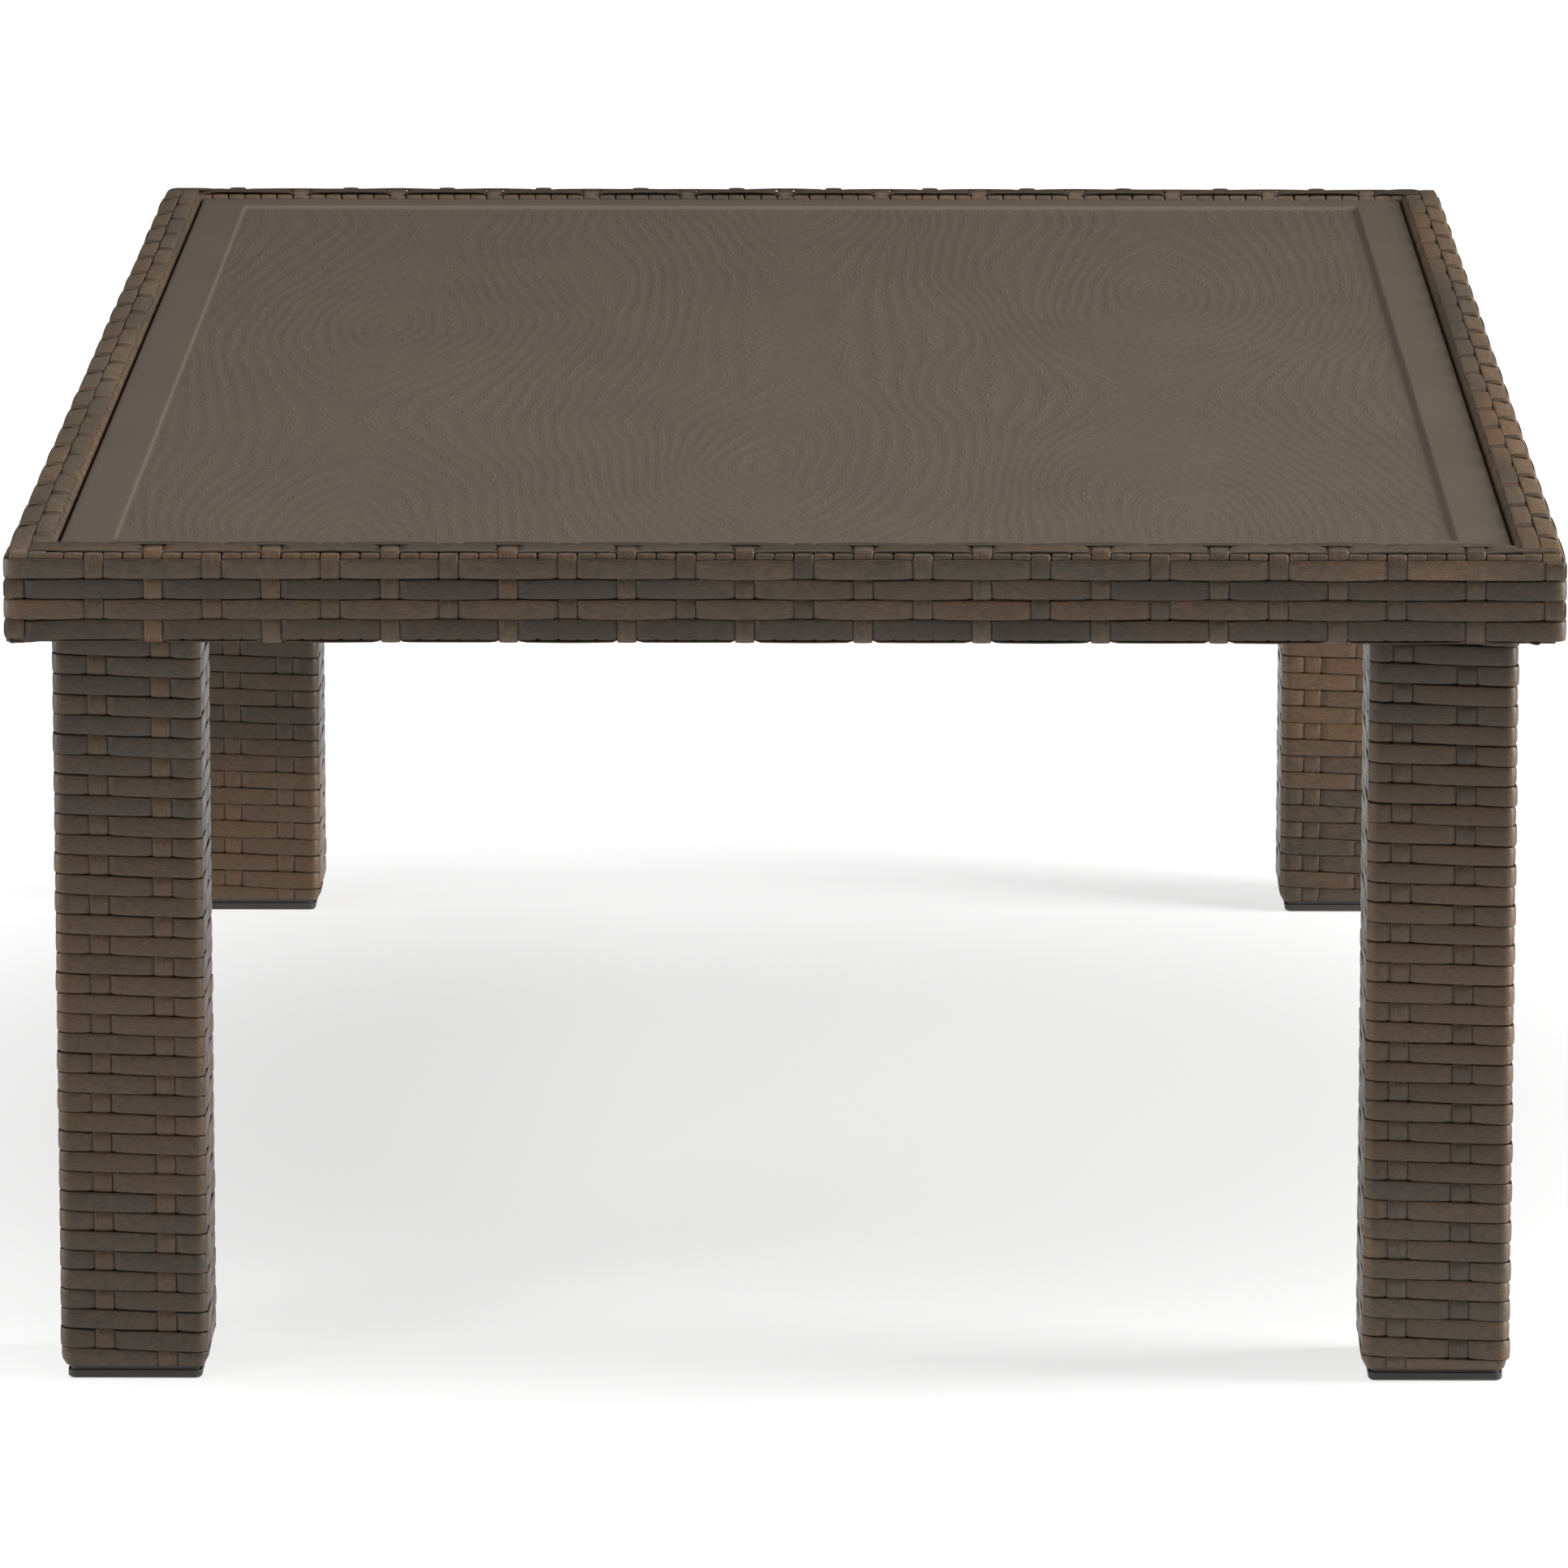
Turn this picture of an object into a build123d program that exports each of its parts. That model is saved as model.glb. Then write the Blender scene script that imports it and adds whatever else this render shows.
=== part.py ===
"""Wicker coffee table with a drop-in pressed steel top.

A welded ring of rectangular tube carries ledges, cross bars and corner gussets. Four square
tube legs bolt up under the gussets. Flat resin strand is woven round the ring and the legs.
The top is one pressed sheet with a smooth border round an embossed field. It lies loose
inside the woven rim, on rubber pads.

Frame: origin on the floor at the centre of the footprint, +X across the short side,
+Y along the long side, +Z up. Millimetres.
"""

from build123d import *
import os

# Overall sizes, over the woven skin.
table_width = 762.0
table_length = 1220.0
table_height = 423.0

# Woven skin round the ring: its build-up over the tube, and how far it laps the inner face.
rim_skin = 4.0
rim_edge_radius = 3.0
upper_lap = 11.0
lower_lap = 3.0

# Ring of rectangular tube.
rail_width = 16.0
rail_height = 40.0
rail_wall = 1.2

# Ledges that carry the top, cross bars under it, and gussets that the legs bolt to.
ledge_reach = 14.0
ledge_thickness = 2.5
cross_bar_width = 25.0
cross_bar_height = 12.0
cross_bar_wall = 1.2
cross_bar_spacing = 340.0
gusset_margin = 7.5  # past the far side of the leg's plate
gusset_thickness = 3.0
gusset_corner_cut = 34.0

# Legs.
leg_size = 66.0
leg_wall = 1.2
leg_corner_radius = 5.0
leg_skin = 4.5
leg_skin_corner_radius = 6.0
leg_skin_foot_radius = 4.0
leg_lap = 3.0  # of a leg's woven face under the rim's inner edge
leg_plate_thickness = 4.0
skin_clearance = 0.5  # between the ends of a leg's skin and the rim or the foot

# Leg bolts, M6 hexagon heads from above.
bolt_spacing = 34.0
bolt_diameter = 6.0
bolt_length = 13.0
bolt_head_across_flats = 10.0
bolt_head_height = 4.0
bolt_hole_clearance = 0.6
thread_clearance = 0.05
washer_diameter = 12.0
washer_thickness = 1.6
washer_hole_clearance = 0.4

# Foot caps, pushed into the legs' lower ends.
foot_overhang = 0.25  # of the flange past each side of the tube
foot_corner_radius = 4.0
foot_height = 4.0
foot_bottom_chamfer = 1.0
foot_step_inset = 1.2
foot_step_height = 1.5
foot_plug_height = 18.0
foot_plug_wall = 2.5
foot_plug_clearance = 0.3

# Pressed top: one sheet, folded down round its edge.
top_gap = 1.2  # between the woven rim and the top
top_drop = 4.5  # from the rim's top down to the border
top_sheet_thickness = 1.0
top_corner_radius = 3.0
top_skirt_height = 14.0
top_edge_radius = 1.0
border_width = 26.0
bevel_width = 2.0
field_depth = 2.0

# Hat-section stiffeners welded under the field.
stiffener_crown = 30.0
stiffener_flange = 12.0
stiffener_depth = 8.0
stiffener_end_gap = 20.0

# Rubber pads on the ledges and the cross bars.
ledge_pad_thickness = 2.0
ledge_pad_width = 9.0
ledge_pad_length = 30.0
ledge_pad_corner_distance = 130.0
bar_pad_size = 18.0
bar_pad_offset = 180.0  # from the table's centre line

# Levels and offsets that follow from the sizes above.
rim_width = rail_width + 2 * rim_skin
rim_height = rail_height + 2 * rim_skin
rim_bottom = table_height - rim_height
rail_inner = rim_skin + rail_width  # in from the table's edge, as all offsets below
border_top = table_height - top_drop
skirt_bottom = border_top - top_skirt_height
ledge_top = skirt_bottom - ledge_pad_thickness
ledge_bottom = ledge_top - ledge_thickness
gusset_bottom = ledge_bottom - gusset_thickness
leg_tube_top = gusset_bottom - leg_plate_thickness
leg_tube_bottom = foot_height + foot_step_height
leg_woven_size = leg_size + 2 * leg_skin
leg_inset = rim_width - leg_lap
gusset_inner = leg_inset + leg_skin + leg_size + gusset_margin
foot_size = leg_size + 2 * foot_overhang
leg_x = table_width / 2 - leg_inset - leg_woven_size / 2
leg_y = table_length / 2 - leg_inset - leg_woven_size / 2
field_top = border_top - field_depth
field_underside = field_top - top_sheet_thickness
top_edge = rim_width + top_gap
stiffener_bottom = field_underside - stiffener_depth

SIDES = ("front", "rear", "left", "right")
CORNERS = {
    "front_left": (-1, -1),
    "front_right": (1, -1),
    "rear_left": (-1, 1),
    "rear_right": (1, 1),
}
BARS = {"front": -1, "middle": 0, "rear": 1}

os.makedirs("parts", exist_ok=True)


def write_piece(piece, label):
    piece.part.label = label
    export_step(piece.part, f"parts/{label}.step")


def ring_side(side, outer, inner):
    """Corners of one mitred side of a ring, between two offsets in from the table's edge."""
    x_out = table_width / 2 - outer
    x_in = table_width / 2 - inner
    y_out = table_length / 2 - outer
    y_in = table_length / 2 - inner
    if side in ("front", "rear"):
        sign = -1 if side == "front" else 1
        return [(-x_out, sign * y_out), (x_out, sign * y_out), (x_in, sign * y_in), (-x_in, sign * y_in)]
    sign = -1 if side == "left" else 1
    return [(sign * x_out, -y_out), (sign * x_out, y_out), (sign * x_in, y_in), (sign * x_in, -y_in)]


def outer_edges(piece, side):
    """The long edges on the outer face of one side of the ring."""
    along = Axis.X if side in ("front", "rear") else Axis.Y
    across = Axis.Y if side in ("front", "rear") else Axis.X
    outermost = 0 if side in ("front", "left") else -1
    return piece.edges().filter_by(along).group_by(across)[outermost]


def make_rail(side):
    """Rectangular tube, mitred and open at both ends."""
    with BuildPart() as rail:
        with BuildSketch(Plane.XY.offset(rim_bottom + rim_skin)):
            Polygon(*ring_side(side, rim_skin, rail_inner), align=None)
        extrude(amount=rail_height)
        with BuildSketch(Plane.XY.offset(rim_bottom + rim_skin + rail_wall)):
            Polygon(*ring_side(side, rim_skin + rail_wall, rail_inner - rail_wall), align=None)
        extrude(amount=rail_height - 2 * rail_wall, mode=Mode.SUBTRACT)
    write_piece(rail, f"rail_{side}")


def make_rim_weave(side):
    """Woven skin over the outer, upper and lower faces of a rail, lapped onto its inner face."""
    layers = (
        (0, rim_skin, rim_bottom, rim_height),
        (0, rim_width, table_height - rim_skin, rim_skin),
        (0, rim_width, rim_bottom, rim_skin),
        (rail_inner, rim_width, table_height - rim_skin - upper_lap, upper_lap),
        (rail_inner, rim_width, rim_bottom + rim_skin, lower_lap),
    )
    with BuildPart() as weave:
        for outer, inner, bottom, height in layers:
            with BuildSketch(Plane.XY.offset(bottom)):
                Polygon(*ring_side(side, outer, inner), align=None)
            extrude(amount=height)
        fillet(outer_edges(weave, side), rim_edge_radius)
    write_piece(weave, f"rim_weave_{side}")


def make_ledge(side):
    """Flat bar welded along a rail's inner face."""
    with BuildPart() as ledge:
        with BuildSketch(Plane.XY.offset(ledge_bottom)):
            Polygon(*ring_side(side, rail_inner, rail_inner + ledge_reach), align=None)
        extrude(amount=ledge_thickness)
    write_piece(ledge, f"ledge_{side}")


def make_cross_bar(place):
    """Rectangular tube between the side rails, with its upper face under the ledges."""
    center = (BARS[place] * cross_bar_spacing, ledge_bottom - cross_bar_height / 2)
    bore_width = cross_bar_width - 2 * cross_bar_wall
    bore_height = cross_bar_height - 2 * cross_bar_wall
    with BuildPart() as bar:
        with BuildSketch(Plane.YZ):
            with Locations(center):
                Rectangle(cross_bar_width, cross_bar_height)
                Rectangle(bore_width, bore_height, mode=Mode.SUBTRACT)
        extrude(amount=table_width / 2 - rail_inner, both=True)
    write_piece(bar, f"cross_bar_{place}")


def make_gusset(corner):
    """Plate welded under the ledges in a corner of the ring, drilled for the leg's bolts."""
    sign_x, sign_y = CORNERS[corner]
    x_out = table_width / 2 - rail_inner
    y_out = table_length / 2 - rail_inner
    x_in = table_width / 2 - gusset_inner
    y_in = table_length / 2 - gusset_inner
    outline = [
        (x_out, y_out),
        (x_in, y_out),
        (x_in, y_in + gusset_corner_cut),
        (x_in + gusset_corner_cut, y_in),
        (x_out, y_in),
    ]
    with BuildPart() as gusset:
        with BuildSketch(Plane.XY.offset(gusset_bottom)):
            Polygon(*[(sign_x * x, sign_y * y) for x, y in outline], align=None)
            with Locations((sign_x * leg_x, sign_y * leg_y)):
                with GridLocations(bolt_spacing, bolt_spacing, 2, 2):
                    Circle((bolt_diameter + bolt_hole_clearance) / 2, mode=Mode.SUBTRACT)
        extrude(amount=gusset_thickness)
    write_piece(gusset, f"gusset_{corner}")


def make_leg_tube(corner):
    """Square tube from the foot cap up to the leg's top plate."""
    sign_x, sign_y = CORNERS[corner]
    bore = leg_size - 2 * leg_wall
    with BuildPart() as tube:
        with BuildSketch(Plane.XY.offset(leg_tube_bottom)):
            with Locations((sign_x * leg_x, sign_y * leg_y)):
                RectangleRounded(leg_size, leg_size, leg_corner_radius)
                RectangleRounded(bore, bore, leg_corner_radius - leg_wall, mode=Mode.SUBTRACT)
        extrude(amount=leg_tube_top - leg_tube_bottom)
    write_piece(tube, f"leg_tube_{corner}")


def make_leg_plate(corner):
    """Plate welded on a leg tube's upper end, tapped for the bolts."""
    sign_x, sign_y = CORNERS[corner]
    with BuildPart() as plate:
        with BuildSketch(Plane.XY.offset(leg_tube_top)):
            with Locations((sign_x * leg_x, sign_y * leg_y)):
                RectangleRounded(leg_size, leg_size, leg_corner_radius)
                with GridLocations(bolt_spacing, bolt_spacing, 2, 2):
                    Circle(bolt_diameter / 2 + thread_clearance, mode=Mode.SUBTRACT)
        extrude(amount=leg_plate_thickness)
    write_piece(plate, f"leg_plate_{corner}")


def make_leg_weave(corner):
    """Woven skin round a leg tube. Its inner corners are sharper than the tube's."""
    sign_x, sign_y = CORNERS[corner]
    bottom = leg_tube_bottom + skin_clearance
    top = rim_bottom - skin_clearance
    with BuildPart() as weave:
        with BuildSketch(Plane.XY.offset(bottom)):
            with Locations((sign_x * leg_x, sign_y * leg_y)):
                RectangleRounded(leg_woven_size, leg_woven_size, leg_skin_corner_radius)
        extrude(amount=top - bottom)
        fillet(weave.edges().group_by(Axis.Z)[0], leg_skin_foot_radius)
        with BuildSketch(Plane.XY.offset(bottom)):
            with Locations((sign_x * leg_x, sign_y * leg_y)):
                RectangleRounded(leg_size, leg_size, leg_corner_radius / 2)
        extrude(amount=top - bottom, mode=Mode.SUBTRACT)
    write_piece(weave, f"leg_weave_{corner}")


def make_foot_cap(corner):
    """Plastic cap: a stepped flange under the tube and a hollow plug inside it."""
    sign_x, sign_y = CORNERS[corner]
    center = (sign_x * leg_x, sign_y * leg_y)
    step = foot_size - 2 * foot_step_inset
    plug = leg_size - 2 * leg_wall - 2 * foot_plug_clearance
    plug_bore = plug - 2 * foot_plug_wall
    plug_radius = leg_corner_radius - leg_wall
    with BuildPart() as cap:
        with BuildSketch(Plane.XY):
            with Locations(center):
                RectangleRounded(foot_size, foot_size, foot_corner_radius)
        extrude(amount=foot_height)
        chamfer(cap.edges().group_by(Axis.Z)[0], foot_bottom_chamfer)
        with BuildSketch(Plane.XY.offset(foot_height)):
            with Locations(center):
                RectangleRounded(step, step, foot_corner_radius)
        extrude(amount=foot_step_height)
        with BuildSketch(Plane.XY.offset(leg_tube_bottom)):
            with Locations(center):
                RectangleRounded(plug, plug, plug_radius)
                Rectangle(plug_bore, plug_bore, mode=Mode.SUBTRACT)
        extrude(amount=foot_plug_height)
    write_piece(cap, f"foot_cap_{corner}")


def bolt_centers():
    """Plan position of every leg bolt."""
    half = bolt_spacing / 2
    return [
        (sign_x * leg_x + dx, sign_y * leg_y + dy)
        for sign_x, sign_y in CORNERS.values()
        for dx in (-half, half)
        for dy in (-half, half)
    ]


def make_washers():
    with BuildPart() as washers:
        with BuildSketch(Plane.XY.offset(ledge_bottom)):
            with Locations(bolt_centers()):
                Circle(washer_diameter / 2)
                Circle((bolt_diameter + washer_hole_clearance) / 2, mode=Mode.SUBTRACT)
        extrude(amount=washer_thickness)
    write_piece(washers, "leg_washers")


def make_bolts():
    head_bottom = ledge_bottom + washer_thickness
    with BuildPart() as bolts:
        with BuildSketch(Plane.XY.offset(head_bottom)):
            with Locations(bolt_centers()):
                RegularPolygon(bolt_head_across_flats / 2, 6, major_radius=False)
        extrude(amount=bolt_head_height)
        with BuildSketch(Plane.XY.offset(head_bottom)):
            with Locations(bolt_centers()):
                Circle(bolt_diameter / 2)
        extrude(amount=-bolt_length)
    write_piece(bolts, "leg_bolts")


def make_ledge_pads():
    """Pads under the top's skirt: two near the ends of each ledge, and one midway on the long ones."""
    inset = rim_width + ledge_pad_width / 2
    x_line = table_width / 2 - inset
    y_line = table_length / 2 - inset
    x_end = table_width / 2 - ledge_pad_corner_distance
    y_end = table_length / 2 - ledge_pad_corner_distance
    with BuildPart() as pads:
        with BuildSketch(Plane.XY.offset(ledge_top)):
            with Locations(*[(x, y) for x in (-x_line, x_line) for y in (-y_end, 0, y_end)]):
                Rectangle(ledge_pad_width, ledge_pad_length)
            with Locations(*[(x, y) for x in (-x_end, x_end) for y in (-y_line, y_line)]):
                Rectangle(ledge_pad_length, ledge_pad_width)
        extrude(amount=ledge_pad_thickness)
    write_piece(pads, "ledge_pads")


def make_bar_pads():
    """Blocks on the cross bars that hold up the stiffeners."""
    with BuildPart() as pads:
        with BuildSketch(Plane.XY.offset(ledge_bottom)):
            with GridLocations(2 * bar_pad_offset, cross_bar_spacing, 2, len(BARS)):
                Rectangle(bar_pad_size, bar_pad_size)
        extrude(amount=stiffener_bottom - ledge_bottom)
    write_piece(pads, "cross_bar_pads")


def make_top_sheet():
    """Pressed sheet: smooth border, bevel, sunken field, and a skirt folded down all round."""
    width = table_width - 2 * top_edge
    length = table_length - 2 * top_edge
    under_width = width - 2 * top_sheet_thickness
    under_length = length - 2 * top_sheet_thickness
    under_radius = top_corner_radius - top_sheet_thickness
    field_width = width - 2 * border_width
    field_length = length - 2 * border_width
    well_margin = 2 * (bevel_width + top_sheet_thickness)
    with BuildPart() as sheet:
        with BuildSketch(Plane.XY.offset(skirt_bottom)):
            RectangleRounded(width, length, top_corner_radius)
        extrude(amount=top_skirt_height)
        fillet(sheet.edges().group_by(Axis.Z)[-1], top_edge_radius)
        with BuildSketch(Plane.XY.offset(border_top)):
            Rectangle(field_width, field_length)
        with BuildSketch(Plane.XY.offset(field_top)):
            Rectangle(field_width - 2 * bevel_width, field_length - 2 * bevel_width)
        loft(mode=Mode.SUBTRACT)
        with BuildSketch(Plane.XY.offset(skirt_bottom)):
            RectangleRounded(under_width, under_length, under_radius)
        extrude(amount=field_underside - skirt_bottom, mode=Mode.SUBTRACT)
        with BuildSketch(Plane.XY.offset(field_underside)):
            RectangleRounded(under_width, under_length, under_radius)
            Rectangle(field_width + well_margin, field_length + well_margin, mode=Mode.SUBTRACT)
        extrude(amount=field_depth, mode=Mode.SUBTRACT)
    write_piece(sheet, "top_sheet")


def make_stiffener(place):
    """Hat section across the underside of the field, with its crown downwards."""
    y = BARS[place] * cross_bar_spacing
    inner_crown = stiffener_crown - 2 * top_sheet_thickness
    span = table_width - 2 * (top_edge + border_width + stiffener_end_gap)
    with BuildPart() as stiffener:
        with BuildSketch(Plane.YZ):
            with Locations((y, field_underside - stiffener_depth / 2)):
                Rectangle(stiffener_crown, stiffener_depth)
            with Locations((y, field_underside - top_sheet_thickness / 2)):
                Rectangle(stiffener_crown + 2 * stiffener_flange, top_sheet_thickness)
            with Locations((y, field_underside - (stiffener_depth - top_sheet_thickness) / 2)):
                Rectangle(inner_crown, stiffener_depth - top_sheet_thickness, mode=Mode.SUBTRACT)
        extrude(amount=span / 2, both=True)
    write_piece(stiffener, f"stiffener_{place}")


for side in SIDES:
    make_rail(side)
    make_rim_weave(side)
    make_ledge(side)

for corner in CORNERS:
    make_gusset(corner)
    make_leg_tube(corner)
    make_leg_plate(corner)
    make_leg_weave(corner)
    make_foot_cap(corner)

for place in BARS:
    make_cross_bar(place)
    make_stiffener(place)

make_washers()
make_bolts()
make_ledge_pads()
make_bar_pads()
make_top_sheet()
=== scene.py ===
"""Looks for the wicker coffee table: strand-level weave, pressed top, finishes, camera and light.

Shapes are worked out in millimetres in the row frame and written to meshes in metres.
"""

import math

import bpy
import numpy as np
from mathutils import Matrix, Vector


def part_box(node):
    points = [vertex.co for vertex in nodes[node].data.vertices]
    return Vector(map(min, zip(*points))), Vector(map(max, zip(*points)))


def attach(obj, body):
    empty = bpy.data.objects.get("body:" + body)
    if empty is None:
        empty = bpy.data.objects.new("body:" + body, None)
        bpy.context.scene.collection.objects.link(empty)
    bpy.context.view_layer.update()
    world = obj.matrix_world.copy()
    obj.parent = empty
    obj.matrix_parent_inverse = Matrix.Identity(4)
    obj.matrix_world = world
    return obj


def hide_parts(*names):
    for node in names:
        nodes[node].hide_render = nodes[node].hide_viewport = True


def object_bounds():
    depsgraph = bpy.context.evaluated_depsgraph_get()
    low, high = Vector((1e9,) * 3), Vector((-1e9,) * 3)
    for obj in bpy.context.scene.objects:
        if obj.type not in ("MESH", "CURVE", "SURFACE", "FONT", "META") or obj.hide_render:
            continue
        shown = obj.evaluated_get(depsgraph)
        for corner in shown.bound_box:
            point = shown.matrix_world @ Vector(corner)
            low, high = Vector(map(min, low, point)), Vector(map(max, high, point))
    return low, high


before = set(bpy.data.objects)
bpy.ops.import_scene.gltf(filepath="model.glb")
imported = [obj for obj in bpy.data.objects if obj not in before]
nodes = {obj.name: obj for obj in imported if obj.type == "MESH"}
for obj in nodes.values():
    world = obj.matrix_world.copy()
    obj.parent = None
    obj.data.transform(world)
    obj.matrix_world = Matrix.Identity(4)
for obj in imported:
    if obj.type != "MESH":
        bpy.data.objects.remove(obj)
cad_low, cad_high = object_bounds()

MM = 0.001


def box_mm(node):
    """Lowest and highest corner of a CAD node, in millimetres."""
    low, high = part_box(node)
    return np.array(low) / MM, np.array(high) / MM


# ---------------------------------------------------------------- strand sizes
STRAND_THICKNESS = 1.1
STRAND_CROWN = 0.22
STAKE_WIDTH = 9.3
TOP_STRAND_WIDTH = 9.3
ROW_PITCH = 9.85
ROW_WIDTH = 9.6
# Heights of a strand's middle over the tube.
LOW = 0.88  # where it lies under another
FLOAT = 2.8  # a weaver over the stakes
BUMP = 2.78  # a stake over a weaver of the outer face
TOP_BUMP = {"T1": 2.85, "T2": 2.95}  # a stake over a weaver of the top face
EDGE = 1.93  # on the rim's outer top and inner bottom edges
INNER_EDGE = {"front": 3.45, "rear": 2.35, "left": 3.45, "right": 3.45}  # on its inner top edge
LOWER_EDGE = 2.35  # on its outer bottom edge
HIGHEST = 3.25  # anywhere, so that a skin stays within its 4 mm
BOW = 0.5  # most that a float lifts in its middle
BUMP_FLAT = 3.0  # half of a stake's level part over a weaver
LEG_BUMP_END = 6.8
DIP_FLAT = 2.5  # half of a weaver's level part under a stake
DIP_END = 7.5
BEND_REACH = 2.3  # how far the painted highlight at a bend reaches
RUN_STEP, ARC_STEP = 2.5, 0.7  # spacing of a strand's rings on flats and on bends

# Section of a strand: share of the width, share of the thickness, share of the crown.
SECTION = np.array(
    [
        (-0.500, 0.05, 0.00),
        (-0.478, 0.42, 0.00),
        (-0.415, 0.50, 0.35),
        (-0.150, 0.50, 0.95),
        (0.150, 0.50, 0.95),
        (0.415, 0.50, 0.35),
        (0.478, 0.42, 0.00),
        (0.500, 0.05, 0.00),
        (0.470, -0.45, 0.00),
        (-0.470, -0.45, 0.00),
    ]
)
CAP_QUADS = ((9, 0, 7, 8), (0, 1, 6, 7), (1, 2, 5, 6), (2, 3, 4, 5))


def smooth(t):
    """0 below 0, 1 above 1, and a soft step between."""
    t = np.clip(t, 0.0, 1.0)
    return t * t * (3.0 - 2.0 * t)


def through_keys(x, keys):
    """Value at x of a curve through (position, value) keys, level at each key."""
    keys = sorted(keys)
    places = np.array([k[0] for k in keys], float)
    values = np.array([k[1] for k in keys], float)
    i = np.clip(np.searchsorted(places, x) - 1, 0, len(keys) - 2)
    t = (x - places[i]) / np.maximum(places[i + 1] - places[i], 1e-6)
    return values[i] + (values[i + 1] - values[i]) * smooth(t)


def painted_bend_highlight(distance, amount):
    """Painted highlight: brightness raised near a sharp bend; distance is from the bend's middle."""
    return 1.0 + amount * np.exp(-((distance / BEND_REACH) ** 2))


def drift(rng, x, step, spread):
    """Slow random change along a strand, about zero."""
    length = float(np.max(x) - np.min(x)) + step
    places = np.arange(np.min(x) - step, np.min(x) + length + step, step)
    values = rng.normal(0.0, spread, len(places))
    return through_keys(x, list(zip(places, values)))


class Outline:
    """A path of straight runs and arcs in a plane, with the outward normal at each point."""

    def __init__(self, runs):
        self.runs = runs
        self.starts = np.concatenate([[0.0], np.cumsum([r["length"] for r in runs])])

    @staticmethod
    def line(x0, y0, x1, y1, nx, ny):
        return {
            "kind": "line",
            "length": math.hypot(x1 - x0, y1 - y0),
            "from": (x0, y0),
            "to": (x1, y1),
            "normal": (nx, ny),
        }

    @staticmethod
    def arc(cx, cy, radius, start, end):
        return {
            "kind": "arc",
            "length": radius * math.radians(abs(end - start)),
            "centre": (cx, cy),
            "radius": radius,
            "angles": (math.radians(start), math.radians(end)),
        }

    def at(self, p):
        """Points (n, 2) and normals (n, 2) at distances p along the path."""
        p = np.asarray(p, float)
        index = np.clip(np.searchsorted(self.starts, p, "right") - 1, 0, len(self.runs) - 1)
        points = np.zeros(p.shape + (2,))
        normals = np.zeros(p.shape + (2,))
        for i, run in enumerate(self.runs):
            mask = index == i
            t = (p[mask] - self.starts[i]) / run["length"]
            if run["kind"] == "line":
                start, end = np.array(run["from"]), np.array(run["to"])
                points[mask] = start + (end - start) * t[:, None]
                normals[mask] = run["normal"]
            else:
                a0, a1 = run["angles"]
                a = a0 + (a1 - a0) * t
                normals[mask] = np.stack([np.cos(a), np.sin(a)], -1)
                points[mask] = np.array(run["centre"]) + run["radius"] * normals[mask]
        return points, normals

    def offset(self, p, h):
        points, normals = self.at(p)
        return points + normals * h[..., None]

    def samples(self, low, high, run_step, arc_step):
        """Distances from low to high, closer together on the arcs."""
        found = [low, high]
        for i, run in enumerate(self.runs):
            step = run_step if run["kind"] == "line" else arc_step
            a, b = max(self.starts[i], low), min(self.starts[i + 1], high)
            if b > a:
                found += list(np.linspace(a, b, max(2, int(math.ceil((b - a) / step)) + 1)))
        return np.unique(np.round(found, 4))


class Weave:
    """Collects strands, then writes them as one mesh piece."""

    def __init__(self):
        self.points = []
        self.quads = []
        self.values = {"along": [], "across": [], "seed": [], "warm": [], "light": []}
        self.count = 0

    def strand(self, place, along, across, height, width, seed, warm, light,
               roll=0.0, thickness=STRAND_THICKNESS, crown=STRAND_CROWN, closed=False, flip=False):
        """Adds a strand; place(along, across, height) gives x, y, z for the points of its rings."""
        n, m = len(along), len(SECTION)
        width, height, across, roll, warm, light = (
            np.broadcast_to(np.asarray(v, float), (n,))[:, None]
            for v in (width, height, across, roll, warm, light)
        )
        height = np.minimum(height, HIGHEST)
        x = SECTION[None, :, 0] * width
        y = SECTION[None, :, 1] * thickness + SECTION[None, :, 2] * crown
        b = across + x * np.cos(roll) - y * np.sin(roll)
        h = height + x * np.sin(roll) + y * np.cos(roll)
        a = np.broadcast_to(np.asarray(along, float)[:, None], (n, m))
        xyz = place(a, b, h).reshape(-1, 3)
        rings = np.arange(n)
        pairs = np.stack([rings, np.roll(rings, -1)], -1)
        if not closed:
            pairs = pairs[:-1]
        j = np.arange(m)
        k = np.roll(j, -1)
        first, second = pairs[:, :1] * m, pairs[:, 1:] * m
        quads = np.stack([first + j, second + j, second + k, first + k], -1).reshape(-1, 4)
        if not closed:
            ends = np.array(CAP_QUADS)
            quads = np.concatenate([quads, ends, ends[:, ::-1] + (n - 1) * m])
        if flip:
            quads = quads[:, ::-1]
        self.points.append(xyz)
        self.quads.append(quads + self.count)
        self.count += n * m
        steps = np.linalg.norm(np.diff(xyz.reshape(n, m, 3)[:, 0], axis=0), axis=1)
        run = np.concatenate([[0.0], np.cumsum(steps)])[:, None]
        rows = {
            "along": np.broadcast_to(run, (n, m)),
            "across": np.broadcast_to(SECTION[None, :, 0] * 2.0, (n, m)),
            "seed": np.full((n, m), seed),
            "warm": np.broadcast_to(warm, (n, m)),
            "light": np.broadcast_to(light, (n, m)),
        }
        for name, value in rows.items():
            self.values[name].append(value.reshape(-1))

    def piece(self, name, material):
        mesh = mesh_from(name, np.concatenate(self.points), np.concatenate(self.quads))
        for key, value in self.values.items():
            layer = mesh.attributes.new("strand_" + key, "FLOAT", "POINT")
            layer.data.foreach_set("value", np.concatenate(value).astype(np.float32))
        return piece_from(name, mesh, material)


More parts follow.
